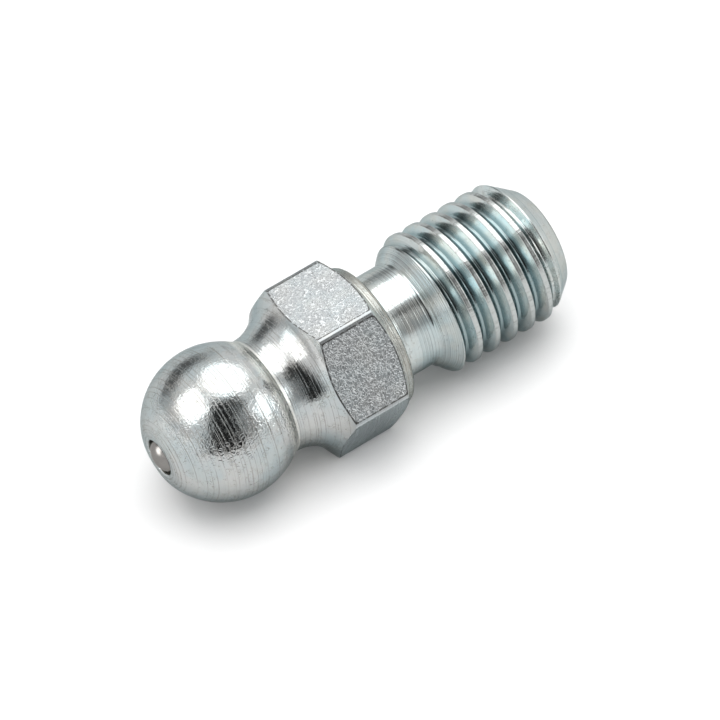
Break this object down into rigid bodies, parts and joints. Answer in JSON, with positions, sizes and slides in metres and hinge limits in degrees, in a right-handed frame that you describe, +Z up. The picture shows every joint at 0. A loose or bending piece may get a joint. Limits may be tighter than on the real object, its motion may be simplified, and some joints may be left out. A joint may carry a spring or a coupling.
{
  "type": "grease nipple",
  "caption": "Straight ball-head grease nipple with hexagon, undercut and fine thread, holding a sprung check ball that closes its mouth.",
  "frame": {"origin": "on the surface the nipple lies on, under the middle of its length and width", "axes": "+X along the axis towards the thread end, -X towards the ball head, +Z up from the flat of the hexagon it lies on"},
  "size_m": [0.0196, 0.008, 0.007],
  "materials": {
    "zinc_plated_steel": "bright zinc plate over turned and cold-drawn steel",
    "hardened_ball_steel": "polished",
    "spring_wire": "drawn wire",
    "plain_steel": "as turned"
  },
  "bodies": {
    "nipple": {"nipple_body": "zinc_plated_steel", "spring_retainer": "plain_steel", "valve_spring": "spring_wire"},
    "valve_ball": {"check_ball": "hardened_ball_steel"}
  },
  "joints": [
    {"name": "ball_lift", "type": "slide", "parent": "nipple", "child": "valve_ball", "axis": [1, 0, 0], "range_m": [0, 0.0008], "stiffness_N_per_m": 500, "springref_m": -0.0005, "deforming": ["valve_spring"]}
  ]
}
